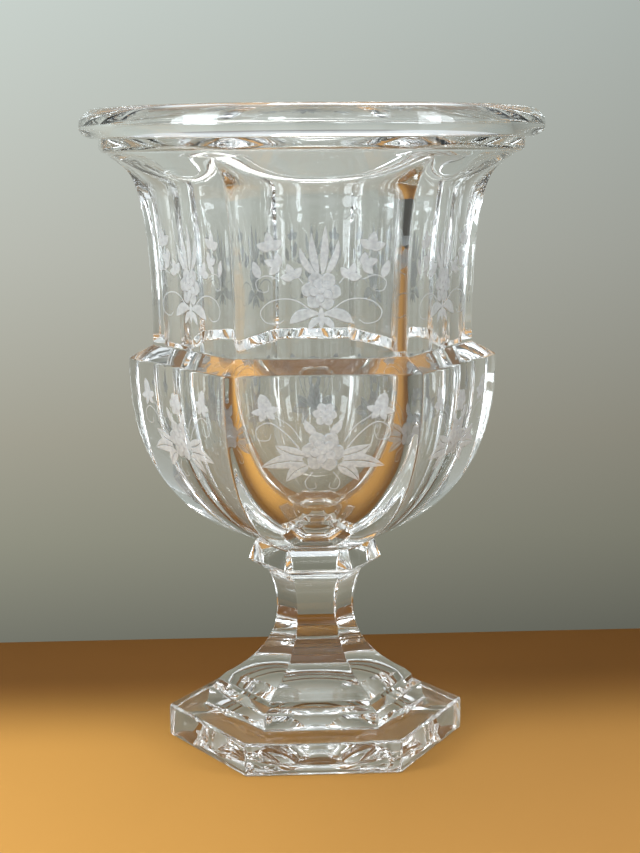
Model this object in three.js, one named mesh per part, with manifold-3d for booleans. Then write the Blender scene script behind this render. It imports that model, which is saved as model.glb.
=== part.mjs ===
// A clear crystal pedestal vase: a six-sided bowl with a round rolled rim, carried by a
// six-sided collar, a waisted stem and a stepped foot. Every joint is a flat level face.
// Millimetres, +Z up, with the origin under the middle of the foot.
import * as THREE from 'three';
import { mergeVertices } from 'three/addons/utils/BufferGeometryUtils.js';
import Module from 'manifold-3d';

// Driving dimensions. Radii of six-sided rings are measured to their corners.
const SIDES = 6;
const ROUND_STEPS = 72;
const CURVE_STEPS = 12;
const EDGE_STEPS = 5;

const FOOT_RADIUS = 57;
const PLATE_WALL = 11;
const PLATE_EDGE = 1.1;
const PLATE_RISE = 0.2;
const STEP_RADIUS = 42.4;
const STEP_FILLET = 1.8;
const STEP_RISE = 6.2;
const STEP_LEAN = 1;
const TREAD_RISE = 2;
const HOLLOW_RADIUS = 36;
const HOLLOW_DEPTH = 11;

const STEM_FOOT_RADIUS = 38;
const STEM_KERB = 1.7;
const STEM_KERB_LEAN = 0.5;
const STEM_SPREAD_RADIUS = 35;
const STEM_BEVEL = 2.1;
const STEM_WAIST_RADIUS = 14.8;
const STEM_SPREAD_HEIGHT = 25.6;
const STEM_TOP_RADIUS = 17.8;
const STEM_TOP_HEIGHT = 14.6;

const COLLAR_RADIUS = 25.6;
const COLLAR_TOP_RADIUS = 22.9;
const COLLAR_UNDER = 4.9;
const COLLAR_SIDE = 7.2;

const BOWL_BASE_RADIUS = 19.2;
const LOWER_HEIGHT = 70.8;
const LOWER_FULLNESS = 2.3;
const SHOULDER_LEDGE = 9.3;
const BEVEL_RISE = 4.9;
const UPPER_RADIUS = 60.4;
const UPPER_HEIGHT = 69.5;
const UPPER_FLARE = 11.2;
const CORNER_SINK = 1.64;
const FLARE_SLOPE = 0.487;
const FLARE_REACH = 7.1;
const FLARE_EDGE = 2.3;
const GROOVE_HEIGHT = 2.6;
const BEAD_OVERHANG = 7.1;
const BEAD_SEAT = 0.6;
const BEAD_BELLY = 4.4;
const LIP_RISE = 6.6;
const LIP_WIDTH = 6.4;

const PANEL_WALL = 5.3;
const FLOOR_THICKNESS = 12.8;
const THROAT_DROP = 14.8;
const THROAT_FLARE = 3;
const LIP_INNER_DROP = 6.4;
const LIP_INNER_REACH = 5.6;

// Handles of the swept curves: how far each one runs in and up or down from the curve's end.
const SPREAD_IN = 10.3;
const SPREAD_UP = 5.1;
const WAIST_DOWN = 12.8;
const WAIST_UP = 7.3;
const PANEL_UP = 30;
const CORNER_IN = 9.4;
const CORNER_DOWN = 8.8;
const BARREL_UP = 30;
const THROAT_IN = 0.8;
const THROAT_ALONG = 12;
const MOUTH_IN = 6;
const MOUTH_DOWN = 7;

// How far a cutter runs past the face that it cuts.
const CUT_MARGIN = 5;

const point = (radius, height) => new THREE.Vector2(radius, height);

// Heights of the level faces and edges, from the table up.
const plateTop = PLATE_WALL + PLATE_EDGE + PLATE_RISE;
const footTop = plateTop + STEP_RISE + TREAD_RISE;
const spreadBase = footTop + STEM_KERB + STEM_BEVEL;
const waist = spreadBase + STEM_SPREAD_HEIGHT;
const stemTop = waist + STEM_TOP_HEIGHT;
const collarTop = stemTop + COLLAR_UNDER + COLLAR_SIDE;
const shoulder = collarTop + LOWER_HEIGHT;
const upperBase = shoulder + BEVEL_RISE;
const upperTop = upperBase + UPPER_HEIGHT;

// Radii that follow from the driving dimensions.
const apothemShare = Math.cos(Math.PI / SIDES);
const shoulderRadius = UPPER_RADIUS + SHOULDER_LEDGE;
const upperTopRadius = UPPER_RADIUS + UPPER_FLARE;
const flareEdgeRadius = upperTopRadius + FLARE_REACH;
const rimRadius = flareEdgeRadius + BEAD_OVERHANG;
const cavityRadius = UPPER_RADIUS * apothemShare - PANEL_WALL;

// Turns a profile into a solid of flat sides, or a round one, standing on +Z.
function turned(profile, steps) {
  const lathe = new THREE.LatheGeometry(profile, steps, Math.PI / 2);
  return lathe.rotateX(Math.PI / 2);
}

// A full curve from a narrow base up to a wide edge, bulging more as fullness grows past 2.
function bulge(baseRadius, baseHeight, edgeRadius, edgeHeight, fullness) {
  const share = (baseRadius / edgeRadius) ** fullness;
  const depth = (edgeHeight - baseHeight) / (1 - share) ** (1 / fullness);
  const start = Math.asin(Math.sqrt(share));
  const points = [];
  for (let i = 0; i <= CURVE_STEPS; i++) {
    const angle = start + ((Math.PI / 2 - start) * i) / CURVE_STEPS;
    const radius = edgeRadius * Math.sin(angle) ** (2 / fullness);
    const drop = depth * Math.max(0, Math.cos(angle)) ** (2 / fullness);
    points.push(point(radius, edgeHeight - drop));
  }
  return points;
}

// A quarter of an ellipse from one point to another, leaving upright or level.
function quarter(from, to, leavesUpright) {
  const points = [];
  for (let i = 1; i <= EDGE_STEPS; i++) {
    const angle = (Math.PI / 2) * (i / EDGE_STEPS);
    const near = 1 - Math.cos(angle);
    const far = Math.sin(angle);
    const across = leavesUpright ? near : far;
    const along = leavesUpright ? far : near;
    points.push(point(from.x + (to.x - from.x) * across, from.y + (to.y - from.y) * along));
  }
  return points;
}

const wasm = await Module();
wasm.setup();

// A closed geometry as a solid that can be joined and cut.
function solid(geometry) {
  const bare = geometry.clone();
  bare.deleteAttribute('normal');
  bare.deleteAttribute('uv');
  const merged = mergeVertices(bare);
  return new wasm.Manifold(
    new wasm.Mesh({
      numProp: 3,
      vertProperties: new Float32Array(merged.attributes.position.array),
      triVerts: new Uint32Array(merged.index.array),
    }),
  );
}

// The finished solid as a geometry again.
function geometryOf(made) {
  const mesh = made.getMesh();
  const geometry = new THREE.BufferGeometry();
  geometry.setAttribute('position', new THREE.BufferAttribute(mesh.vertProperties, 3));
  geometry.setIndex(new THREE.BufferAttribute(mesh.triVerts, 1));
  geometry.computeVertexNormals();
  return geometry;
}

// Colourless polished lead crystal.
function crystal() {
  return new THREE.MeshStandardMaterial({
    color: 0xe6ebe8,
    roughness: 0.03,
    metalness: 0,
    transparent: true,
    opacity: 0.35,
    flatShading: true,
  });
}

// Foot: a thick plate with an eased top edge, a raised step, and a round hollow below.
function makeFoot() {
  const plate = [
    point(0, 0),
    point(FOOT_RADIUS, 0),
    point(FOOT_RADIUS, PLATE_WALL),
    ...quarter(
      point(FOOT_RADIUS, PLATE_WALL),
      point(FOOT_RADIUS - PLATE_EDGE, PLATE_WALL + PLATE_EDGE),
      true,
    ),
    point(STEP_RADIUS + STEP_FILLET, plateTop),
    ...quarter(
      point(STEP_RADIUS + STEP_FILLET, plateTop),
      point(STEP_RADIUS, plateTop + STEP_FILLET),
      false,
    ),
    point(STEP_RADIUS - STEP_LEAN, plateTop + STEP_RISE),
    point(STEM_FOOT_RADIUS, footTop),
    point(0, footTop),
  ];
  const ball = (HOLLOW_RADIUS ** 2 + HOLLOW_DEPTH ** 2) / (2 * HOLLOW_DEPTH);
  const halfAngle = Math.asin(HOLLOW_RADIUS / ball);
  const hollow = [point(0, -CUT_MARGIN), point(HOLLOW_RADIUS, -CUT_MARGIN)];
  for (let i = 0; i <= EDGE_STEPS; i++) {
    const angle = halfAngle * (1 - i / EDGE_STEPS);
    hollow.push(point(ball * Math.sin(angle), ball * Math.cos(angle) - ball + HOLLOW_DEPTH));
  }
  const cut = solid(turned(plate, SIDES)).subtract(solid(turned(hollow, ROUND_STEPS)));
  return geometryOf(cut);
}

// Stem: a low kerb and bevel, then a pyramid that sweeps in to the waist and out to the collar.
function makeStem() {
  const sweep = new THREE.CubicBezierCurve(
    point(STEM_SPREAD_RADIUS, spreadBase),
    point(STEM_SPREAD_RADIUS - SPREAD_IN, spreadBase + SPREAD_UP),
    point(STEM_WAIST_RADIUS, waist - WAIST_DOWN),
    point(STEM_WAIST_RADIUS, waist),
  );
  const neck = new THREE.QuadraticBezierCurve(
    point(STEM_WAIST_RADIUS, waist),
    point(STEM_WAIST_RADIUS, waist + WAIST_UP),
    point(STEM_TOP_RADIUS, stemTop),
  );
  const profile = [
    point(0, footTop),
    point(STEM_FOOT_RADIUS, footTop),
    point(STEM_FOOT_RADIUS - STEM_KERB_LEAN, footTop + STEM_KERB),
    ...sweep.getPoints(CURVE_STEPS),
    ...neck.getPoints(CURVE_STEPS).slice(1),
    point(0, stemTop),
  ];
  return turned(profile, SIDES);
}

// Collar: a six-sided ring that spreads from the stem and leans in under the bowl.
function makeCollar() {
  const profile = [
    point(0, stemTop),
    point(STEM_TOP_RADIUS, stemTop),
    point(COLLAR_RADIUS, stemTop + COLLAR_UNDER),
    point(COLLAR_TOP_RADIUS, collarTop),
    point(0, collarTop),
  ];
  return turned(profile, SIDES);
}

// Bowl: six flat panels above and below a bevelled shoulder, whose corners sweep out and sink
// into a round flare that carries a rolled bead past a groove. The round cavity leaves the
// panels thin in the middle and thick at the corners.
function makeBowl() {
  const upperCorner = new THREE.CubicBezierCurve(
    point(UPPER_RADIUS, upperBase),
    point(UPPER_RADIUS, upperBase + PANEL_UP),
    point(upperTopRadius - CORNER_IN, upperTop - CORNER_DOWN),
    point(upperTopRadius, upperTop),
  );
  const panels = [
    point(0, collarTop),
    ...bulge(BOWL_BASE_RADIUS, collarTop, shoulderRadius, shoulder, LOWER_FULLNESS),
    ...upperCorner.getPoints(CURVE_STEPS),
    point(0, upperTop),
  ];

  const flareHeight = (radius) => upperTop + (radius - upperTopRadius - CORNER_SINK) * FLARE_SLOPE;
  const flareEnd = point(flareEdgeRadius - FLARE_EDGE, flareHeight(flareEdgeRadius - FLARE_EDGE));
  const flareEdge = point(flareEdgeRadius, flareEnd.y + FLARE_EDGE);
  const beadBase = flareEdge.y + GROOVE_HEIGHT;
  const beadSeat = point(flareEdgeRadius + BEAD_SEAT, beadBase);
  const beadSide = point(rimRadius, beadBase + BEAD_BELLY);
  const ridge = point(rimRadius - LIP_WIDTH, beadSide.y + LIP_RISE);
  const lip = [
    point(0, flareHeight(cavityRadius)),
    point(cavityRadius, flareHeight(cavityRadius)),
    flareEnd,
    ...quarter(flareEnd, flareEdge, false),
    point(flareEdgeRadius, beadBase),
    beadSeat,
    ...quarter(beadSeat, beadSide, false),
    ...quarter(beadSide, ridge, true),
    point(0, ridge.y),
  ];

  const throat = point(cavityRadius + THROAT_FLARE, upperTop - THROAT_DROP);
  const innerLip = point(ridge.x - LIP_INNER_REACH, ridge.y - LIP_INNER_DROP);
  const barrel = new THREE.CubicBezierCurve(
    point(cavityRadius, shoulder),
    point(cavityRadius, shoulder + BARREL_UP),
    point(throat.x - THROAT_IN, throat.y - THROAT_ALONG),
    throat,
  );
  const mouth = new THREE.CubicBezierCurve(
    throat,
    point(throat.x + THROAT_IN, throat.y + THROAT_ALONG),
    point(innerLip.x - MOUTH_IN, innerLip.y - MOUTH_DOWN),
    innerLip,
  );
  const cavity = [
    ...bulge(0, collarTop + FLOOR_THICKNESS, cavityRadius, shoulder, LOWER_FULLNESS),
    ...barrel.getPoints(CURVE_STEPS / 2).slice(1),
    ...mouth.getPoints(CURVE_STEPS / 2).slice(1),
    ...quarter(innerLip, ridge, true),
    point(ridge.x, ridge.y + CUT_MARGIN),
    point(0, ridge.y + CUT_MARGIN),
  ];

  const blank = solid(turned(panels, SIDES)).add(solid(turned(lip, ROUND_STEPS)));
  return geometryOf(blank.subtract(solid(turned(cavity, ROUND_STEPS))));
}

const vase = new THREE.Group();
const pieces = { foot: makeFoot, stem: makeStem, collar: makeCollar, bowl: makeBowl };
for (const [name, make] of Object.entries(pieces)) {
  const mesh = new THREE.Mesh(make(), crystal());
  mesh.name = name;
  vase.add(mesh);
}

export default vase;
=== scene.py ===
import math

import bpy
from mathutils import Euler, Matrix, Vector


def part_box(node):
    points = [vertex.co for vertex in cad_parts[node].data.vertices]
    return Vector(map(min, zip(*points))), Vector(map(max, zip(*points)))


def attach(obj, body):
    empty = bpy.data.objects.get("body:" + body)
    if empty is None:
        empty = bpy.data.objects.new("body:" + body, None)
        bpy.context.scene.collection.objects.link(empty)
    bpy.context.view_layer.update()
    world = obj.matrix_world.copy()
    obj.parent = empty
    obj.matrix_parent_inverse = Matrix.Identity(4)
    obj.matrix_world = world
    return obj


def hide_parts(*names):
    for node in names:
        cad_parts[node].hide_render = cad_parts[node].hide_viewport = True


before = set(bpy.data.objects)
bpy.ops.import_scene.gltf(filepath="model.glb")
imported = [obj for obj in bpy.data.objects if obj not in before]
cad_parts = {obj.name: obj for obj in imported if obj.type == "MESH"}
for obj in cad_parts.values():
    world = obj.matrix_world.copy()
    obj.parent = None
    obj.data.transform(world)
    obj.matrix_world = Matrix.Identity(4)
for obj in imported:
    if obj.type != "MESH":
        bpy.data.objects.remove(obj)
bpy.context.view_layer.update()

# Camera: stands at the height of the vase's flare and looks slightly down on the table, so that
# the rim is seen from just below its own level. The lens is a short telephoto.
MM = 0.001
degrees_down = 8.93
degrees_right = 3.3
degrees_tilted = 0.36
camera_data = bpy.data.cameras.new("camera")
camera_data.sensor_width = 36
camera_data.lens = 72.8
camera_data.clip_start = 10 * MM
camera = bpy.data.objects.new("camera", camera_data)
camera.location = (-35 * MM, -647 * MM, 222 * MM)
aim = Euler((math.radians(90 - degrees_down), 0, math.radians(-degrees_right))).to_matrix()
tilt = Matrix.Rotation(math.radians(-degrees_tilted), 3, "Z")
camera.rotation_euler = (aim @ tilt).to_euler()
bpy.context.scene.collection.objects.link(camera)
bpy.context.scene.camera = camera


# Foot: the stepped plate that carries the vase. It is pressed in a mould from clear lead crystal,
# its faces are ground flat and polished, and the underside has a round hollow.
def node(tree, kind, inputs=None, **settings):
    """Adds a node, with values or links for its inputs."""
    made = tree.nodes.new(kind)
    for name, value in settings.items():
        setattr(made, name, value)
    for key, value in (inputs or {}).items():
        socket = made.inputs[key]
        if isinstance(value, bpy.types.NodeSocket):
            tree.links.new(value, socket)
        else:
            socket.default_value = value
    return made


def maths(tree, operation, *values):
    """A Math node's result for these values or sockets."""
    made = node(tree, "ShaderNodeMath", dict(enumerate(values)), operation=operation)
    return made.outputs[0]


def crystal_material(name, waviness):
    """Lead crystal with a faint haze, more or less wavy from the way it was shaped."""
    material = bpy.data.materials.new(name)
    material.use_nodes = True
    tree = material.node_tree
    shader = tree.nodes["Principled BSDF"]
    shader.inputs["Base Color"].default_value = (0.985, 0.995, 0.99, 1)
    shader.inputs["Transmission Weight"].default_value = 1
    shader.inputs["IOR"].default_value = 1.54
    place = node(tree, "ShaderNodeTexCoord").outputs["Object"]
    haze = node(tree, "ShaderNodeTexNoise", {"Vector": place, "Scale": 90, "Detail": 3})
    rough = node(tree, "ShaderNodeMapRange", {
        "Value": haze.outputs["Fac"], "From Min": 0.45, "From Max": 0.8,
        "To Min": 0.0, "To Max": 0.035})
    tree.links.new(rough.outputs["Result"], shader.inputs["Roughness"])
    drawn = node(tree, "ShaderNodeMapping", {"Vector": place, "Scale": (1.0, 1.0, 0.4)})
    ripple = node(tree, "ShaderNodeTexNoise", {
        "Vector": drawn.outputs[0], "Scale": 60, "Detail": 1})
    bump = node(tree, "ShaderNodeBump", {
        "Height": ripple.outputs["Fac"], "Strength": waviness, "Distance": 0.0004})
    tree.links.new(bump.outputs["Normal"], shader.inputs["Normal"])
    return material


def melted_joint_material():
    """The faces where two pieces are melted together: the glass runs on with no surface between."""
    material = bpy.data.materials.new("melted_joint")
    material.use_nodes = True
    material.node_tree.nodes["Principled BSDF"].inputs["Alpha"].default_value = 0
    return material


def panelled_turning_tree():
    """Turns a profile round the upright axis. Each row of the profile has a corner radius for a
    six-sided ring and a radius for a round one, and the larger of the two makes the surface.
    A row's squareness draws its round ring out towards the corners."""
    tree = bpy.data.node_groups.new("panelled_turning", "GeometryNodeTree")
    new = tree.interface.new_socket
    new("Profile", in_out="INPUT", socket_type="NodeSocketGeometry")
    for name, kind in (
        ("Sides", "Int"), ("Columns", "Int"), ("Corner Crispness", "Float"),
        ("Flare Crispness", "Float"), ("Blend Crispness", "Float"), ("Joint Below", "Bool"),
        ("Joint Above", "Bool"), ("Inside From", "Int"), ("Glass", "Material"),
        ("Inside", "Material"), ("Joint", "Material"),
    ):
        new(name, in_out="INPUT", socket_type="NodeSocket" + kind)
    new("Geometry", in_out="OUTPUT", socket_type="NodeSocketGeometry")
    given = node(tree, "NodeGroupInput").outputs

    def calc(operation, *values):
        return maths(tree, operation, *values)

    rows = node(tree, "GeometryNodeAttributeDomainSize", {"Geometry": given["Profile"]},
                component="MESH").outputs["Point Count"]
    last_row = calc("SUBTRACT", rows, 1)
    across = calc("ADD", calc("MULTIPLY", given["Sides"], given["Columns"]), 1)
    grid = node(tree, "GeometryNodeMeshGrid", {
        "Size X": 1.0, "Size Y": 1.0, "Vertices X": across, "Vertices Y": rows})
    spot = node(tree, "ShaderNodeSeparateXYZ", {
        "Vector": node(tree, "GeometryNodeInputPosition").outputs[0]}).outputs
    row = calc("MULTIPLY", calc("ADD", spot["Y"], 0.5), last_row)
    marked = node(tree, "GeometryNodeStoreNamedAttribute", {
        "Geometry": grid.outputs["Mesh"], "Name": "row", "Value": row},
        data_type="FLOAT", domain="FACE")

    profile = node(tree, "GeometryNodeSampleIndex", {
        "Geometry": given["Profile"],
        "Value": node(tree, "GeometryNodeInputPosition").outputs[0],
        "Index": calc("ROUND", row)}, data_type="FLOAT_VECTOR", domain="POINT")
    ring = node(tree, "ShaderNodeSeparateXYZ", {"Vector": profile.outputs[0]}).outputs
    squareness = node(tree, "GeometryNodeSampleIndex", {
        "Geometry": given["Profile"],
        "Value": node(tree, "GeometryNodeInputNamedAttribute", {
            "Name": "squareness"}).outputs["Attribute"],
        "Index": calc("ROUND", row)}, data_type="FLOAT", domain="POINT")

    turn = calc("MULTIPLY", calc("ADD", spot["X"], 0.5), given["Sides"])
    side = calc("FLOOR", calc("ADD", turn, 1e-5))
    half_side = calc("DIVIDE", math.pi, given["Sides"])
    offset = calc("SUBTRACT", calc("MULTIPLY", calc("SUBTRACT", turn, side), 2.0), 1.0)
    to_corner = calc("MAXIMUM", calc("SUBTRACT", 1.0, calc("ABSOLUTE", offset)), 0.0)
    gathered = calc("SUBTRACT", 1.0, calc("POWER", to_corner, 1.5))
    swing = calc("MULTIPLY", gathered, half_side)
    middle = calc("MULTIPLY", calc("ADD", side, 0.5), calc("MULTIPLY", half_side, 2.0))
    angle = calc("ADD", middle, calc("MULTIPLY", calc("SIGN", offset), swing))
    next_swing = calc("SUBTRACT", calc("MULTIPLY", half_side, 2.0), swing)

    def six_sided_reach(crisp):
        this_side = calc("POWER", calc("COSINE", swing), crisp)
        next_side = calc("POWER", calc("COSINE", next_swing), crisp)
        return calc("POWER", calc("ADD", this_side, next_side), calc("DIVIDE", -1.0, crisp))

    apothem = calc("MULTIPLY", ring["X"], calc("COSINE", half_side))
    panelled = calc("MULTIPLY", apothem, six_sided_reach(given["Corner Crispness"]))
    drawn = calc("SUBTRACT", six_sided_reach(given["Flare Crispness"]), 1.0)
    stretch = calc("ADD", calc("MULTIPLY", drawn, squareness.outputs[0]), 1.0)
    rounded = calc("MULTIPLY", ring["Y"], stretch)
    outer = calc("MAXIMUM", panelled, rounded)
    inner = calc("MINIMUM", panelled, rounded)
    share = calc("POWER", calc("DIVIDE", inner, outer), given["Blend Crispness"])
    swell = calc("POWER", calc("ADD", 1.0, share), calc("DIVIDE", 1.0, given["Blend Crispness"]))
    radius = calc("MULTIPLY", outer, swell)

    place = node(tree, "ShaderNodeCombineXYZ", {
        "X": calc("MULTIPLY", radius, calc("COSINE", angle)),
        "Y": calc("MULTIPLY", radius, calc("SINE", angle)), "Z": ring["Z"]})
    turned = node(tree, "GeometryNodeSetPosition", {
        "Geometry": marked.outputs[0], "Position": place.outputs[0]})
    closed = node(tree, "GeometryNodeMergeByDistance", {
        "Geometry": turned.outputs[0], "Distance": 2e-7})
    smooth = node(tree, "GeometryNodeSetShadeSmooth", {"Geometry": closed.outputs[0]})
    fold = node(tree, "GeometryNodeInputMeshEdgeAngle").outputs["Unsigned Angle"]
    sharp = node(tree, "GeometryNodeSetShadeSmooth", {
        "Geometry": smooth.outputs[0], "Selection": calc("GREATER_THAN", fold, math.radians(38)),
        "Shade Smooth": False}, domain="EDGE")
    solid = node(tree, "GeometryNodeRealizeInstances", {"Geometry": sharp.outputs[0]})

    band = node(tree, "GeometryNodeInputNamedAttribute", {"Name": "row"}).outputs["Attribute"]
    below = calc("MULTIPLY", calc("LESS_THAN", band, 0.75), given["Joint Below"])
    above = calc("MULTIPLY", calc("GREATER_THAN", band, calc("SUBTRACT", last_row, 0.75)),
                 given["Joint Above"])
    glass = node(tree, "GeometryNodeSetMaterial", {
        "Geometry": solid.outputs[0], "Material": given["Glass"]})
    inside = node(tree, "GeometryNodeSetMaterial", {
        "Geometry": glass.outputs[0], "Selection": calc("GREATER_THAN", band, given["Inside From"]),
        "Material": given["Inside"]})
    joint = node(tree, "GeometryNodeSetMaterial", {
        "Geometry": inside.outputs[0], "Selection": calc("ADD", below, above),
        "Material": given["Joint"]})
    bare = node(tree, "GeometryNodeRemoveAttribute", {"Geometry": joint.outputs[0], "Name": "row"})
    node(tree, "NodeGroupOutput", {"Geometry": bare.outputs[0]})
    return tree


def grown_piece(name, start, tree, values):
    """Runs a node tree on a starting mesh and keeps what it makes as a plain piece of the vase."""
    maker = bpy.data.objects.new(name + "_maker", start)
    bpy.context.scene.collection.objects.link(maker)
    modifier = maker.modifiers.new("shaping", "NODES")
    modifier.node_group = tree
    for socket in tree.interface.items_tree:
        if socket.name in values:
            modifier[socket.identifier] = values[socket.name]
    graph = bpy.context.evaluated_depsgraph_get()
    mesh = bpy.data.meshes.new_from_object(maker.evaluated_get(graph), depsgraph=graph)
    bpy.data.objects.remove(maker)
    mesh.name = name
    piece = bpy.data.objects.new(name, mesh)
    bpy.context.scene.collection.objects.link(piece)
    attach(piece, "root")
    return piece


def glass_piece(name, rows, node_name, joint_below, joint_above, inside_from=1000):
    """Makes a turned piece of glass from rows of corner radius, round radius, height, in mm, and
    squareness where a row has one."""
    profile = bpy.data.meshes.new(name + "_profile")
    profile.from_pydata([Vector(row[:3]) * MM for row in rows], [], [])
    squareness = [row[3] if len(row) > 3 else 0.0 for row in rows]
    profile.attributes.new("squareness", "FLOAT", "POINT").data.foreach_set("value", squareness)
    piece = grown_piece(name, profile, turning, {
        "Sides": 6, "Columns": 44, "Corner Crispness": 160.0, "Flare Crispness": 8.0,
        "Blend Crispness": 28.0, "Joint Below": joint_below, "Joint Above": joint_above,
        "Inside From": inside_from, "Glass": crystal, "Inside": blown_crystal,
        "Joint": melted_joint})
    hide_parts(node_name)
    return piece


def eased(corners, steps=4):
    """A profile through corners of radius, height and easing, each corner rounded by its easing."""
    points = []
    for i, (radius, height, ease) in enumerate(corners):
        here = Vector((radius, height))
        if not ease:
            points.append(here)
            continue
        before = Vector(corners[i - 1][:2])
        after = Vector(corners[i + 1][:2])
        start = here + (before - here).normalized() * ease
        end = here + (after - here).normalized() * ease
        for k in range(steps + 1):
            t = k / steps
            points.append(start * (1 - t) ** 2 + here * 2 * t * (1 - t) + end * t * t)
    return points


def six_sided(points):
    """Rows of a six-sided stretch of a profile."""
    return [(point[0], 0, point[1]) for point in points]


def round_rows(points):
    """Rows of a round stretch of a profile."""
    return [(0, point[0], point[1]) for point in points]


crystal = crystal_material("clear_crystal", 0.15)
blown_crystal = crystal_material("blown_crystal", 0.6)
melted_joint = melted_joint_material()
turning = panelled_turning_tree()

foot_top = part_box("foot")[1].z / MM
foot_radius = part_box("foot")[1].x / MM
stem_foot_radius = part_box("stem")[1].x / MM
plate_top = 12.3
step_radius = 42.4
step_top_radius = 41.4
step_top = 18.5
hollow_radius = 36
hollow_depth = 11
hollow_steps = 24
ball = (hollow_radius ** 2 + hollow_depth ** 2) / (2 * hollow_depth)
hollow = []
for k in range(hollow_steps + 1):
    radius = hollow_radius * k / hollow_steps
    hollow.append((radius, math.sqrt(ball ** 2 - radius ** 2) - ball + hollow_depth))
foot_side = eased([
    (hollow_radius, 0, 0),
    (foot_radius, 0, 0.9),
    (foot_radius, plate_top, 1.4),
    (step_radius, plate_top, 1.8),
    (step_top_radius, step_top, 0.8),
    (stem_foot_radius, foot_top, 0),
])
foot_rows = round_rows(hollow) + six_sided(foot_side[1:]) + [(0, 0, foot_top)]
glass_piece("crystal_foot", foot_rows, "foot", False, True)


# Stem: a solid post of pressed crystal, with six faces that sweep up from a low kerb to a narrow
# waist. It is melted on to the foot below and to the collar above.
def bezier(points, steps):
    """Points along a cubic curve, without its first point."""
    a, b, c, d = (Vector(point) for point in points)
    made = []
    for k in range(1, steps + 1):
        t = k / steps
        u = 1 - t
        made.append(a * u ** 3 + b * 3 * u * u * t + c * 3 * u * t * t + d * t ** 3)
    return made


stem_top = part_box("stem")[1].z / MM
waist_radius = 14.8
waist = stem_top - 14.6
spread_radius = 35
spread_base = foot_top + 3.8
stem_top_radius = 17.8
kerb_rise = 1.7
kerb_lean = 0.5
kerb = eased([
    (stem_foot_radius, foot_top, 0),
    (stem_foot_radius - kerb_lean, foot_top + kerb_rise, 0.5),
    (spread_radius, spread_base, 0),
])
sweep = bezier([
    (spread_radius, spread_base), (24.7, spread_base + 5.1),
    (waist_radius, waist - 12.8), (waist_radius, waist)], 40)
neck = bezier([
    (waist_radius, waist), (waist_radius, waist + 5), (15.6, stem_top - 4.4),
    (stem_top_radius, stem_top)], 20)
stem_rows = [(0, 0, foot_top)] + six_sided(kerb + sweep + neck) + [(0, 0, stem_top)]
glass_piece("crystal_stem", stem_rows, "stem", True, True)

# Collar: a six-sided ring of glass between stem and bowl, spreading below and leaning in above.
# It is cut and polished after the pieces are melted together, so that its corners stay crisp.
collar_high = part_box("collar")[1]
collar_top = collar_high.z / MM
collar_radius = collar_high.x / MM
collar_edge = stem_top + 4.9
collar_top_radius = 22.9
bowl_base_radius = 19.2
collar_side = eased([
    (stem_top_radius, stem_top, 0),
    (collar_radius, collar_edge, 0.5),
    (collar_top_radius, collar_top, 0.5),
    (bowl_base_radius, collar_top, 0),
])
collar_rows = [(0, 0, stem_top)] + six_sided(collar_side) + [(0, 0, collar_top)]
glass_piece("crystal_collar", collar_rows, "collar", True, True)


# Bowl: blown into a six-sided mould, with flat cut panels above and below a bevelled shoulder.
# The rim is drawn out round and rolled to a bead, and the cavity inside is round.
def bulge(base_radius, base_height, edge_radius, edge_height, fullness, steps):
    """A full curve from a narrow base up to a wide edge."""
    share = (base_radius / edge_radius) ** fullness
    depth = (edge_height - base_height) / (1 - share) ** (1 / fullness)
    start = math.asin(math.sqrt(share))
    points = []
    for k in range(steps + 1):
        angle = start + (math.pi / 2 - start) * k / steps
        radius = edge_radius * math.sin(angle) ** (2 / fullness)
        drop = depth * max(0, math.cos(angle)) ** (2 / fullness)
        points.append((radius, edge_height - drop))
    return points


bowl_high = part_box("bowl")[1]
rim_radius = bowl_high.x / MM
rim_top = bowl_high.z / MM
fullness = 2.3
upper_radius = 60.4
shoulder_radius = 69.7
shoulder = collar_top + 70.8
upper_base = shoulder + 4.9
upper_top = upper_base + 69.5
upper_top_radius = 71.6
corner_sink = 1.64
panel_end = upper_top - 8
flare_slope = 0.487
flare_edge = 78.7
flare_steps = 8
corner_fade = 0.03
roll = 2.4
roll_rise = 2.2
bead_base = rim_top - 11
bead_seat = 0.6
bead_belly = 4.4
lip_reach = 6.4
lip_rise = 6.6
lip_inner_reach = 5.6
lip_inner_drop = 6.4
cavity_radius = 47
cavity_floor = collar_top + 12.8
throat_radius = cavity_radius + 3
throat = upper_top - 14.8

lower = bulge(bowl_base_radius, collar_top, shoulder_radius, shoulder - 0.8, fullness, 44)
bevel = eased([
    (shoulder_radius, shoulder - 2, 0),
    (shoulder_radius, shoulder, 0.7),
    (upper_radius, upper_base, 0.6),
    (upper_radius, upper_base + 2, 0),
])
upper = bezier([
    (upper_radius, upper_base + 2), (upper_radius, upper_base + 30),
    (upper_top_radius - 9.4, upper_top - 8.8), (upper_top_radius, upper_top)], 96)
flare_end = upper_top + (flare_edge - roll - upper_top_radius - corner_sink) * flare_slope
upper_rows = []
for radius, height in upper:
    flare = flare_edge - roll + (height - flare_end) / flare_slope
    drawn = min(1, (flare_end - height) / (flare_end - panel_end))
    upper_rows.append((radius, max(0, flare), height, drawn))
flare_rows = []
for k in range(1, flare_steps + 1):
    height = upper_top + (flare_end - upper_top) * k / flare_steps
    flare = flare_edge - roll + (height - flare_end) / flare_slope
    drawn = (flare_end - height) / (flare_end - panel_end)
    corner = upper_top_radius * (1 - corner_fade * k / flare_steps)
    flare_rows.append((corner, flare, height, drawn))
arc = [math.pi / 2 * k / 12 for k in range(1, 13)]
rolled = [(flare_edge - roll + roll * math.sin(a),
           flare_end + roll_rise * (1 - math.cos(a))) for a in arc]
groove = eased([
    (flare_edge, flare_end + roll_rise, 0),
    (flare_edge, bead_base, 0.4),
    (flare_edge + bead_seat, bead_base, 0),
])
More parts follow.
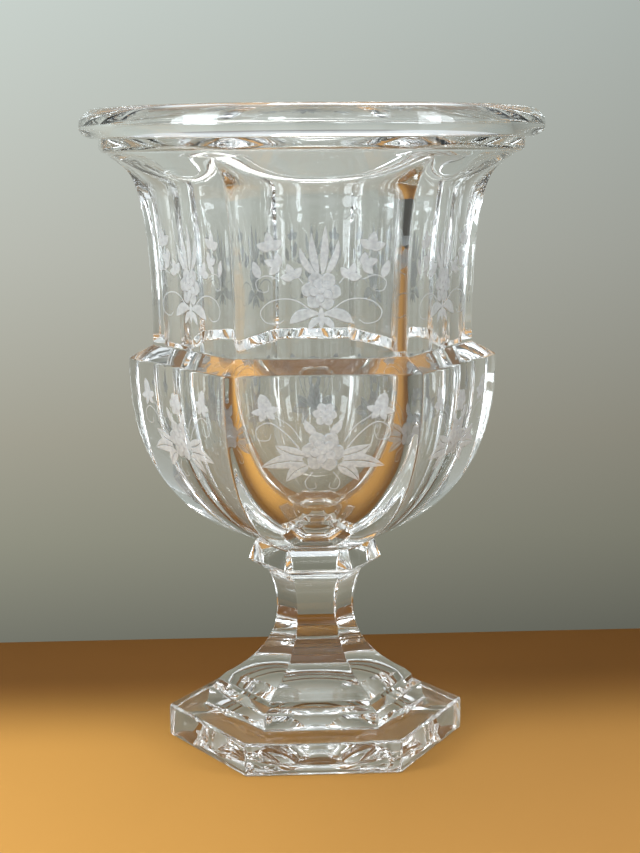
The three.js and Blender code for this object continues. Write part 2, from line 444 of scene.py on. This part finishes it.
belly = [(flare_edge + bead_seat + (rim_radius - flare_edge - bead_seat) * math.sin(a),
          bead_base + bead_belly * (1 - math.cos(a))) for a in arc]
ridge_radius = rim_radius - lip_reach
crown = [(ridge_radius + lip_reach * math.cos(a),
          bead_base + bead_belly + lip_rise * math.sin(a)) for a in arc]
lip_inner_radius = ridge_radius - lip_inner_reach
lip_inner = rim_top - lip_inner_drop
inner_edge = [(ridge_radius - lip_inner_reach * math.sin(a),
               rim_top - lip_inner_drop * (1 - math.cos(a))) for a in arc]
mouth = bezier([
    (lip_inner_radius, lip_inner), (lip_inner_radius - 6, lip_inner - 7),
    (throat_radius + 0.8, throat + 12), (throat_radius, throat)], 30)
barrel = bezier([
    (throat_radius, throat), (throat_radius - 0.8, throat - 12),
    (cavity_radius, shoulder + 30), (cavity_radius, shoulder)], 30)
floor_curve = bulge(0, cavity_floor, cavity_radius, shoulder, fullness, 40)[::-1]
outside_rows = (
    [(0, 0, collar_top)] + six_sided(lower[:-1] + bevel[1:]) + upper_rows + flare_rows
    + round_rows(rolled + groove[1:] + belly + crown + inner_edge))
bowl_rows = outside_rows + round_rows(mouth + barrel + floor_curve[1:])
bowl_piece = glass_piece("crystal_bowl", bowl_rows, "bowl", True, False, len(outside_rows) - 1)


# Flower sprays: roses, leaves and scrolls that are cut by a small wheel into the outside of every
# panel and left unpolished, so that they stay frosted and pale on the clear glass.
def frosted_material():
    """Wheel-cut glass left matt, with the uneven bite of the wheel."""
    material = bpy.data.materials.new("frosted_cut")
    material.use_nodes = True
    tree = material.node_tree
    shader = tree.nodes["Principled BSDF"]
    shader.inputs["Roughness"].default_value = 0.75
    place = node(tree, "ShaderNodeTexCoord").outputs["Object"]
    bite = node(tree, "ShaderNodeTexNoise", {"Vector": place, "Scale": 700, "Detail": 4})
    depth = node(tree, "ShaderNodeMapRange", {
        "Value": bite.outputs["Fac"], "From Min": 0.3, "From Max": 0.7,
        "To Min": 0.4, "To Max": 0.5})
    tree.links.new(depth.outputs["Result"], shader.inputs["Alpha"])
    tone = node(tree, "ShaderNodeMapRange", {
        "Value": bite.outputs["Fac"], "From Min": 0.3, "From Max": 0.7,
        "To Min": 0.7, "To Max": 0.82}).outputs["Result"]
    colour = node(tree, "ShaderNodeCombineColor", {
        "Red": maths(tree, "MULTIPLY", tone, 0.95), "Green": tone,
        "Blue": maths(tree, "MULTIPLY", tone, 1.03)})
    tree.links.new(colour.outputs["Color"], shader.inputs["Base Color"])
    return material


def engraved_sprays_tree():
    """Widens strokes to thin cut shapes, lays them on the front panel and repeats them round it."""
    tree = bpy.data.node_groups.new("engraved_sprays", "GeometryNodeTree")
    new = tree.interface.new_socket
    new("Strokes", in_out="INPUT", socket_type="NodeSocketGeometry")
    for name, kind in (("Bowl", "Object"), ("Panels", "Int"), ("Stand Off", "Float"),
                       ("Frost", "Material")):
        new(name, in_out="INPUT", socket_type="NodeSocket" + kind)
    new("Geometry", in_out="OUTPUT", socket_type="NodeSocketGeometry")
    given = node(tree, "NodeGroupInput").outputs

    spine = node(tree, "GeometryNodeMeshToCurve", {"Mesh": given["Strokes"]})
    level = node(tree, "GeometryNodeSetCurveNormal", {"Curve": spine.outputs[0]}, mode="Z_UP")
    width = node(tree, "GeometryNodeInputNamedAttribute", {"Name": "half_width"})
    ring = node(tree, "GeometryNodeCurvePrimitiveCircle", {"Resolution": 8, "Radius": 1.0})
    lens = node(tree, "GeometryNodeTransform", {
        "Geometry": ring.outputs["Curve"], "Scale": (1.0, 0.02, 1.0)})
    shape = node(tree, "GeometryNodeCurveToMesh", {
        "Curve": level.outputs[0], "Profile Curve": lens.outputs[0], "Fill Caps": True,
        "Scale": width.outputs["Attribute"]})

    spot = node(tree, "ShaderNodeSeparateXYZ", {
        "Vector": node(tree, "GeometryNodeInputPosition").outputs[0]}).outputs
    start = node(tree, "ShaderNodeCombineXYZ", {
        "X": spot["X"], "Y": maths(tree, "MULTIPLY", given["Stand Off"], -1.0), "Z": spot["Y"]})
    bowl = node(tree, "GeometryNodeObjectInfo", {"Object": given["Bowl"]})
    touch = node(tree, "GeometryNodeRaycast", {
        "Target Geometry": bowl.outputs["Geometry"], "Source Position": start.outputs[0],
        "Ray Direction": (0.0, 1.0, 0.0), "Ray Length": given["Stand Off"]})
    face = node(tree, "ShaderNodeSeparateXYZ", {"Vector": touch.outputs["Hit Position"]}).outputs
    laid = node(tree, "ShaderNodeCombineXYZ", {
        "X": spot["X"], "Y": maths(tree, "SUBTRACT", face["Y"], spot["Z"]), "Z": spot["Y"]})
    panel = node(tree, "GeometryNodeSetPosition", {
        "Geometry": shape.outputs[0], "Position": laid.outputs[0]})
    soft = node(tree, "GeometryNodeSetShadeSmooth", {"Geometry": panel.outputs[0]})

    places = node(tree, "GeometryNodePoints", {"Count": given["Panels"]})
    number = node(tree, "GeometryNodeInputIndex").outputs[0]
    step = maths(tree, "DIVIDE", 2 * math.pi, given["Panels"])
    turn = node(tree, "ShaderNodeCombineXYZ", {"Z": maths(tree, "MULTIPLY", number, step)})
    copies = node(tree, "GeometryNodeInstanceOnPoints", {
        "Points": places.outputs[0], "Instance": soft.outputs[0], "Rotation": turn.outputs[0]})
    whole = node(tree, "GeometryNodeRealizeInstances", {"Geometry": copies.outputs[0]})
    frosted = node(tree, "GeometryNodeSetMaterial", {
        "Geometry": whole.outputs[0], "Material": given["Frost"]})
    node(tree, "NodeGroupOutput", {"Geometry": frosted.outputs[0]})
    return tree


def stroke(points, widths, layer=0):
    """A stroke of the wheel along points, with half widths, lifted by its layer."""
    strokes.append(([Vector(point) for point in points], widths, 0.03 + 0.04 * layer))


def blade(base, tip, width, bend=0.0, full=0.8, layer=0):
    """A leaf or petal from base to tip, bent to one side, fullest where its shape says."""
    base = Vector(base)
    along = Vector(tip) - base
    across = Vector((-along.y, along.x))
    points = []
    widths = []
    for k in range(11):
        s = k / 10
        points.append(base + along * s + across * bend * math.sin(math.pi * s))
        widths.append(max(0.04, width / 2 * math.sin(math.pi * s ** full) ** 0.75))
    stroke(points, widths, layer)


def veined_leaf(base, tip, width, bend=0.0, layer=0):
    """A leaf cut as two halves with a clear rib between them."""
    base = Vector(base)
    along = Vector(tip) - base
    across = Vector((-along.y, along.x))
    unit = across.normalized()
    for side in (-1, 1):
        points = []
        widths = []
        for k in range(13):
            s = k / 12
            half = width / 4 * math.sin(math.pi * s ** 0.75) ** 0.9
            middle = base + along * s + across * bend * math.sin(math.pi * s)
            points.append(middle + unit * side * (half + 0.09))
            widths.append(max(0.03, half))
        stroke(points, widths, layer)


def tendril(points, width=0.2):
    """A fine scroll through points, thinning to its end."""
    knots = [Vector(point) for point in points]
    knots = [knots[0] * 2 - knots[1]] + knots + [knots[-1] * 2 - knots[-2]]
    line = []
    for a, b, c, d in zip(knots, knots[1:], knots[2:], knots[3:]):
        for k in range(8):
            t = k / 8
            line.append(0.5 * (2 * b + (c - a) * t + (2 * a - 5 * b + 4 * c - d) * t * t
                               + (3 * b - a - 3 * c + d) * t ** 3))
    line.append(knots[-2])
    stroke(line, [width * (1 - 0.5 * k / (len(line) - 1)) for k in range(len(line))], 1)


def polar(centre, angle, radius):
    """A point at an angle in degrees and a distance from a centre."""
    turn = math.radians(angle)
    return Vector(centre) + Vector((math.cos(turn), math.sin(turn))) * radius


def rose(centre, size):
    """An open rose: two rings of broad petals that overlap, round a heart."""
    for k in range(6):
        angle = 40 + 60 * k
        blade(polar(centre, angle, size * 0.24), polar(centre, angle + 8, size * 1.02),
              size * 0.86, bend=0.1, full=1.15)
    for k in range(5):
        angle = 18 + 72 * k
        blade(polar(centre, angle, size * 0.08), polar(centre, angle + 14, size * 0.62),
              size * 0.52, bend=0.15, full=1.15, layer=2)
    blade(polar(centre, 200, size * 0.2), polar(centre, 20, size * 0.2), size * 0.36,
          full=1, layer=3)


def ivy(centre, angle, size):
    """A small leaf of three lobes."""
    for swing, length in ((0, 1.0), (62, 0.84), (-62, 0.84)):
        way = angle + swing
        blade(polar(centre, way, size * -0.05), polar(centre, way, size * length),
              size * 0.6, full=0.85)


def engrave(name, centre_height):
    """Cuts the strokes gathered so far into every panel, round a height on the bowl."""
    points = []
    edges = []
    half_widths = []
    for line, widths, lift in strokes:
        edges += [(len(points) + k, len(points) + k + 1) for k in range(len(line) - 1)]
        points += [(p.x * MM, (p.y + centre_height) * MM, lift * MM) for p in line]
        half_widths += [w * MM for w in widths]
    drawing = bpy.data.meshes.new(name + "_strokes")
    drawing.from_pydata(points, edges, [])
    drawing.attributes.new("half_width", "FLOAT", "POINT").data.foreach_set("value", half_widths)
    grown_piece(name, drawing, engraving, {
        "Bowl": bowl_piece, "Panels": 6, "Stand Off": 0.2, "Frost": frost})


frost = frosted_material()
engraving = engraved_sprays_tree()

# The upper spray, in mm from the middle of its rose.
strokes = []
rose((0, 0), 6.8)
for tip_x, tip_y, width in ((-7.4, 15, 2.8), (-3.4, 20, 3), (1.4, 22.5, 3), (6, 17.5, 2.8)):
    blade((tip_x * 0.3, 5.6), (tip_x, tip_y), width, bend=-0.012 * tip_x)
blade((0, -5), (0, -13.2), 2.6, full=1.2)
for side in (-1, 1):
    blade((side * 0.2, -8), (side * 11, -11.2), 4.4, bend=0.14 * side, full=1.2)
    blade((side * 0.4, -9.4), (side * 4.4, -13.6), 2.8, bend=0.1 * side)
    tendril([(side * 4, -6.4), (side * 8, -3.6), (side * 13, -2.6), (side * 18, -3.8),
             (side * 21, -7), (side * 19.6, -10.4), (side * 15.5, -11.4), (side * 13, -10)], 0.26)
    tendril([(side * 6.2, 2.6), (side * 8.6, 5.2), (side * 13, 7.6), (side * 17.2, 13.2)], 0.22)
    ivy((side * 9.6, 4.6), 90 - side * 24, 5.4)
    ivy((side * 14.6, 8.8), 90 - side * 70, 5.4)
    ivy((side * 17.4, 14.6), 90 - side * 10, 6)
    tendril([(side * 14.4, 4), (side * 19, 5.4), (side * 22.4, 3.4), (side * 21.6, 0.2),
             (side * 18.6, 0), (side * 18.2, 2)], 0.22)
    blade((side * 21.4, 4.6), (side * 23.4, 10.4), 3.2)
engrave("upper_flower_sprays", upper_base + 23.5)

# The lower spray, in mm from the middle of its larger rose.
strokes = []
rose((0, 0), 7.4)
rose((0.6, 13.4), 4.2)
for side in (-1, 1):
    blade((side * 2.4, 6.4), (side * 6.4, 11.6), 3.2, bend=-0.1 * side)
    veined_leaf((side * 6.4, -1.6), (side * 16.6, 2.4), 5, bend=-0.08 * side)
    veined_leaf((side * 6.6, -3.6), (side * 21.5, -5.4), 5.2, bend=0.06 * side)
    veined_leaf((side * 5.2, -5), (side * 12.8, -11), 4.6, bend=0.1 * side)
    tendril([(side * 8.2, 1.2), (side * 13, 6.8), (side * 18.6, 10.6), (side * 23, 8.6),
             (side * 22.6, 4.8), (side * 19, 4.4), (side * 18, 6.6)], 0.26)
    tendril([(side * 7.4, 3.6), (side * 11, 9), (side * 16, 12.6), (side * 19.6, 15.4)], 0.22)
    blade((side * 19.4, 14.8), (side * 21.6, 20.8), 4.4, full=1)
    ivy((side * 19.4, 14.6), 90 + side * 75, 4.6)
    ivy((side * 20.2, 14.6), 90 - side * 95, 4.6)
    tendril([(side * 3.6, -7.6), (side * 6, -11), (side * 5, -14), (side * 2.4, -13.6),
             (side * 2.6, -11.8)], 0.22)
engrave("lower_flower_sprays", shoulder - 27)


# Table: a plain sheet in the colour of warm wood, with painted shade that makes it darker towards
# its right and its far side. It fades out behind the backdrop and well in front of the vase.
def smooth_ramp(tree, value, start, end, first=0.0, last=1.0):
    """A value that goes smoothly from first to last while another goes from start to end."""
    return node(tree, "ShaderNodeMapRange", {
        "Value": value, "From Min": start, "From Max": end, "To Min": first, "To Max": last},
        interpolation_type="SMOOTHSTEP").outputs["Result"]


def between(tree, share, first, second):
    """A colour between two others."""
    return node(tree, "ShaderNodeMix", {
        "Factor": share, 6: first, 7: second}, data_type="RGBA").outputs[2]


# Painted light and shade: the left of the table is painted lit and its right painted shaded, as if
# light came from the left.
lit_left_wood = (0.64, 0.31, 0.07, 1)
shaded_right_wood = (0.44, 0.21, 0.05, 1)
shaded_far_wood = (0.2, 0.08, 0.016, 1)
table_half = 1.5
table_mesh = bpy.data.meshes.new("table")
table_mesh.from_pydata(
    [(-table_half, -table_half, 0), (table_half, -table_half, 0),
     (table_half, table_half, 0), (-table_half, table_half, 0)], [], [(0, 1, 2, 3)])
table = bpy.data.objects.new("table", table_mesh)
table.location.z = -0.0002
bpy.context.scene.collection.objects.link(table)
table_material = bpy.data.materials.new("pale_table")
table_material.use_nodes = True
table_tree = table_material.node_tree
table_shader = table_tree.nodes["Principled BSDF"]
table_shader.inputs["Roughness"].default_value = 0.6
table_shader.inputs["Specular IOR Level"].default_value = 0.1
table_spot = node(table_tree, "ShaderNodeSeparateXYZ", {
    "Vector": node(table_tree, "ShaderNodeTexCoord").outputs["Object"]}).outputs
# Painted shade across the table: from the lit left to the shaded right.
shade_across = smooth_ramp(table_tree, table_spot["X"], -0.12, 0.12)
# Painted shade: the table darkens towards the backdrop, where less light falls on it.
shade = smooth_ramp(table_tree, table_spot["Y"], -0.02, 0.08)
near_wood = between(table_tree, shade_across, lit_left_wood, shaded_right_wood)
wood = between(table_tree, shade, near_wood, shaded_far_wood)
table_tree.links.new(wood, table_shader.inputs["Base Color"])
far_edge = smooth_ramp(table_tree, table_spot["Y"], 0.15, 0.17, 1.0, 0.0)
near_edge = smooth_ramp(table_tree, table_spot["Y"], -0.42, -0.32)
edges = maths(table_tree, "MULTIPLY", far_edge, near_edge)
table_tree.links.new(edges, table_shader.inputs["Alpha"])
table_mesh.materials.append(table_material)

# Backdrop: a plain upright sheet behind the table that glows with painted light, darker near the
# table and paler towards its top and its left. It is seen from the front only, so that it
# hides nothing from behind.
backdrop_half = 1.5
backdrop_place = 0.135
backdrop_base = -0.02
backdrop_top = 0.33
backdrop_mesh = bpy.data.meshes.new("backdrop")
backdrop_mesh.from_pydata(
    [(x, backdrop_place, z) for x, z in (
        (-backdrop_half, backdrop_base), (backdrop_half, backdrop_base),
        (backdrop_half, backdrop_top), (-backdrop_half, backdrop_top))], [], [(0, 1, 2, 3)])
backdrop = bpy.data.objects.new("backdrop", backdrop_mesh)
bpy.context.scene.collection.objects.link(backdrop)
backdrop_material = bpy.data.materials.new("pale_backdrop")
backdrop_material.use_nodes = True
backdrop_tree = backdrop_material.node_tree
backdrop_shader = backdrop_tree.nodes["Principled BSDF"]
backdrop_shader.inputs["Base Color"].default_value = (0, 0, 0, 1)
backdrop_shader.inputs["Specular IOR Level"].default_value = 0
# Painted light: the backdrop glows by itself rather than being lit by the lamps.
backdrop_shader.inputs["Emission Strength"].default_value = 1
backdrop_spot = node(backdrop_tree, "ShaderNodeSeparateXYZ", {
    "Vector": node(backdrop_tree, "ShaderNodeTexCoord").outputs["Object"]}).outputs
# Painted shade and light: dark near the table and pale towards the top, as light falls on a wall.
rise = node(backdrop_tree, "ShaderNodeMapRange", {
    "Value": backdrop_spot["Z"], "From Min": 0.0, "From Max": 0.6, "To Min": 0.0, "To Max": 1.0})
painted_light_ramp = node(backdrop_tree, "ShaderNodeValToRGB", {"Fac": rise.outputs["Result"]})
stops = painted_light_ramp.color_ramp.elements
stops[0].color = (0.145, 0.148, 0.12, 1)
stops[1].color = (0.88, 0.94, 0.93, 1)
for level, colour in ((0.08, (0.235, 0.235, 0.185, 1)), (0.16, (0.305, 0.295, 0.24, 1)),
                      (0.3, (0.405, 0.415, 0.37, 1)), (0.48, (0.485, 0.533, 0.5, 1))):
    stops.new(level).color = colour
# Painted light: brighter on the left, nearer the windows, and darker on the right.
painted_light_from_left = node(backdrop_tree, "ShaderNodeMapRange", {
    "Value": backdrop_spot["X"], "From Min": -0.3, "From Max": 0.35, "To Min": 1.4, "To Max": 0.62})
shaded = node(backdrop_tree, "ShaderNodeVectorMath", {
    0: painted_light_ramp.outputs["Color"], "Scale": painted_light_from_left.outputs["Result"]}, operation="SCALE")
backdrop_tree.links.new(shaded.outputs["Vector"], backdrop_shader.inputs["Emission Color"])
behind = node(backdrop_tree, "ShaderNodeNewGeometry").outputs["Backfacing"]
in_front = maths(backdrop_tree, "SUBTRACT", 1.0, behind)
backdrop_tree.links.new(in_front, backdrop_shader.inputs["Alpha"])
backdrop_mesh.materials.append(backdrop_material)

# Light: a plain grey room, which the glass sees with upright bands of light round it, a dark ground
# and a pale ceiling. Soft boxes stand in for windows at the sides, in front and high behind.
low_grey = (0.2, 0.2, 0.17, 1)
high_grey = (0.365, 0.36, 0.315, 1)
dark_band = (0.06, 0.058, 0.052, 1)
light_band = (0.8, 0.87, 0.9, 1)
ground = (0.04, 0.036, 0.03, 1)
ceiling = (0.92, 0.98, 1.02, 1)
bands = 8.0
world = bpy.data.worlds.new("room")
bpy.context.scene.world = world
world.use_nodes = True
room = world.node_tree
way = node(room, "ShaderNodeSeparateXYZ", {
    "Vector": node(room, "ShaderNodeTexCoord").outputs["Generated"]}).outputs
compass = maths(room, "ARCTAN2", way["X"], way["Y"])
wave = maths(room, "COSINE", maths(room, "MULTIPLY", compass, bands))
lit = smooth_ramp(room, maths(room, "MULTIPLY", wave, -1.0), -0.4, 0.2)
banded = between(room, lit, dark_band, light_band)
above_ground = between(room, smooth_ramp(room, way["Z"], -0.45, -0.15), ground, banded)
around = between(room, smooth_ramp(room, way["Z"], 0.3, 0.7), above_ground, ceiling)
grey = between(room, smooth_ramp(room, way["Z"], -0.3, -0.04), low_grey, high_grey)
seen = node(room, "ShaderNodeLightPath").outputs["Is Camera Ray"]
room.links.new(between(room, seen, around, grey), room.nodes["Background"].inputs["Color"])


def soft_box(name, spot, size, power, colour):
    """A soft rectangular lamp that faces the middle of the vase."""
    lamp_data = bpy.data.lights.new(name, "AREA")
    lamp_data.shape = "RECTANGLE"
    lamp_data.size, lamp_data.size_y = size
    lamp_data.energy = power
    lamp_data.color = colour
    lamp = bpy.data.objects.new(name, lamp_data)
    lamp.location = spot
    beam = Vector((0, 0, 0.13)) - lamp.location
    lamp.rotation_euler = beam.to_track_quat("-Z", "Y").to_euler()
    bpy.context.scene.collection.objects.link(lamp)


soft_box("left_window", (-1.0, -0.55, 0.6), (0.45, 0.9), 10, (0.86, 0.94, 1))
soft_box("front_window", (-0.5, -1.4, 0.8), (0.2, 0.36), 4, (0.86, 0.94, 1))
soft_box("right_window", (1.0, -0.6, 0.5), (0.3, 0.7), 4.5, (0.88, 0.95, 1))
soft_box("overhead", (0.15, 0.6, 1.2), (0.5, 0.4), 5, (1, 0.98, 0.95))

# Thick cut glass has many faces in a row, so light may pass that many before it is given up.
light_paths = bpy.context.scene.cycles
light_paths.max_bounces = 24
light_paths.transmission_bounces = 24
light_paths.glossy_bounces = 12
light_paths.transparent_max_bounces = 24
bpy.context.scene.view_settings.view_transform = "Standard"
